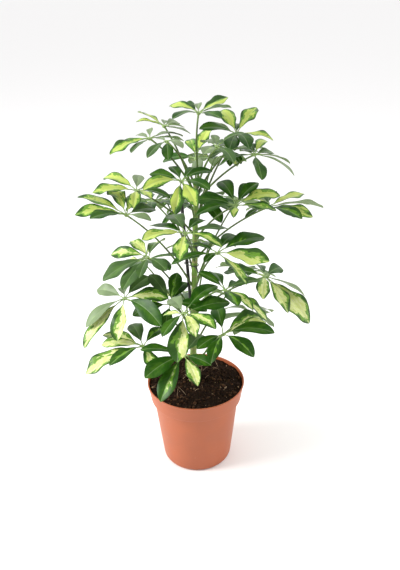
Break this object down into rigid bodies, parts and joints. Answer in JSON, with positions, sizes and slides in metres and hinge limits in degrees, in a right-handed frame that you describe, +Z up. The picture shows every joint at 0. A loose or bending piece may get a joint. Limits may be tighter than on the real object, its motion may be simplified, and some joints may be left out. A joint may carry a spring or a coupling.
{
  "type": "potted umbrella plant",
  "caption": "Variegated umbrella plant with fans of arched leaflets on a caned trunk, standing in a soil-filled terracotta-coloured nursery pot.",
  "frame": {"origin": "middle of the pot's flat underside, on the surface that it stands on", "axes": "+Z up along the pot's axis; -Y is the front seen in the picture; +X is the viewer's right"},
  "size_m": [0.2934, 0.2982, 0.4928],
  "materials": {
    "terracotta_plastic": "thin blow-moulded terracotta-coloured plastic, satin, slightly scuffed",
    "potting_soil": "damp peat and bark, rough and matt",
    "green_stem": "young green bark, smooth, with rings where old leaves stood",
    "black_cane": "dark stained split cane, matt",
    "tie_wire": "plastic-covered wire, matt",
    "leaf_green": "glossy waxy leaf, dark green with cream-yellow centres"
  },
  "bodies": {
    "root": {"pot": "terracotta_plastic", "soil": "potting_soil", "trunk": "green_stem", "support_cane": "black_cane", "tie_1": "tie_wire", "tie_2": "tie_wire", "leaf_01": "leaf_green", "leaf_02": "leaf_green", "leaf_03": "leaf_green", "leaf_04": "leaf_green", "leaf_05": "leaf_green", "leaf_06": "leaf_green", "leaf_07": "leaf_green", "leaf_08": "leaf_green", "leaf_09": "leaf_green", "leaf_10": "leaf_green", "leaf_11": "leaf_green", "leaf_12": "leaf_green", "leaf_13": "leaf_green", "leaf_14": "leaf_green", "leaf_15": "leaf_green", "leaf_16": "leaf_green", "leaf_17": "leaf_green", "leaf_18": "leaf_green", "leaf_19": "leaf_green", "leaf_20": "leaf_green", "leaf_21": "leaf_green", "leaf_22": "leaf_green", "leaf_23": "leaf_green", "leaf_24": "leaf_green", "leaf_25": "leaf_green", "leaf_26": "leaf_green", "leaf_27": "leaf_green", "leaf_28": "leaf_green", "leaf_29": "leaf_green", "leaf_30": "leaf_green", "leaf_31": "leaf_green", "leaf_32": "leaf_green", "leaf_33": "leaf_green", "leaf_34": "leaf_green", "leaf_35": "leaf_green"}
  },
  "joints": []
}
